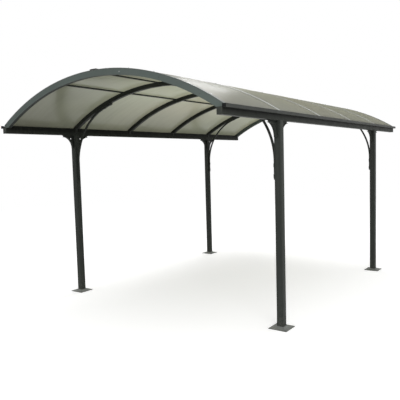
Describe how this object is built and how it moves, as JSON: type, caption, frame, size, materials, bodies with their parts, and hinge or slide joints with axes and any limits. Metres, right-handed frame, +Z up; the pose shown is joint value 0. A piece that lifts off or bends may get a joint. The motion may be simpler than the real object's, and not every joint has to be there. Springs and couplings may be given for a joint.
{
  "type": "arched carport",
  "caption": "Open carport with posts on foot plates, eave beams with gutters, curved ribs, braces and an arched roof of translucent sheets.",
  "frame": {"origin": "on the ground, under the middle of the roof", "axes": "+X to the right across the bay, +Y from the front end to the back end along the roof, +Z up"},
  "size_m": [3.008, 4.88, 2.491],
  "materials": {
    "frame_paint": "satin anthracite powder coat",
    "end_arch_paint": "satin grey-green powder coat, lit",
    "gutter_paint": "satin grey powder coat",
    "cover_strip": "satin grey strip",
    "roof_sheet": "smoked twin-wall polycarbonate, glossy",
    "foot_metal": "grey metal, lightly worn",
    "black_plastic": "matte black plastic"
  },
  "bodies": {
    "root": {"foot_front_left": "foot_metal", "foot_front_right": "foot_metal", "foot_back_left": "foot_metal", "foot_back_right": "foot_metal", "post_front_left": "frame_paint", "post_front_right": "frame_paint", "post_back_left": "frame_paint", "post_back_right": "frame_paint", "brace_front_left": "frame_paint", "brace_front_right": "frame_paint", "brace_back_left": "frame_paint", "brace_back_right": "frame_paint", "eave_brackets_front_left": "frame_paint", "eave_brackets_front_right": "frame_paint", "eave_brackets_back_left": "frame_paint", "eave_brackets_back_right": "frame_paint", "eave_beam_left": "frame_paint", "eave_beam_right": "frame_paint", "gutter_left": "gutter_paint", "gutter_right": "gutter_paint", "beam_caps_front": "black_plastic", "beam_caps_back": "black_plastic", "gutter_caps_front": "black_plastic", "gutter_caps_back": "black_plastic", "end_arch_front": "end_arch_paint", "end_arch_back": "end_arch_paint", "rib_1": "frame_paint", "rib_2": "frame_paint", "rib_3": "frame_paint", "rib_4": "frame_paint", "purlin_left": "frame_paint", "purlin_ridge": "frame_paint", "purlin_right": "frame_paint", "roof_sheet_1": "roof_sheet", "roof_sheet_2": "roof_sheet", "roof_sheet_3": "roof_sheet", "roof_sheet_4": "roof_sheet", "roof_sheet_5": "roof_sheet", "cover_strip_1": "cover_strip", "cover_strip_2": "cover_strip", "cover_strip_3": "cover_strip", "cover_strip_4": "cover_strip", "cover_strip_5": "cover_strip", "cover_strip_6": "cover_strip", "ridge_caps": "black_plastic"}
  },
  "joints": []
}
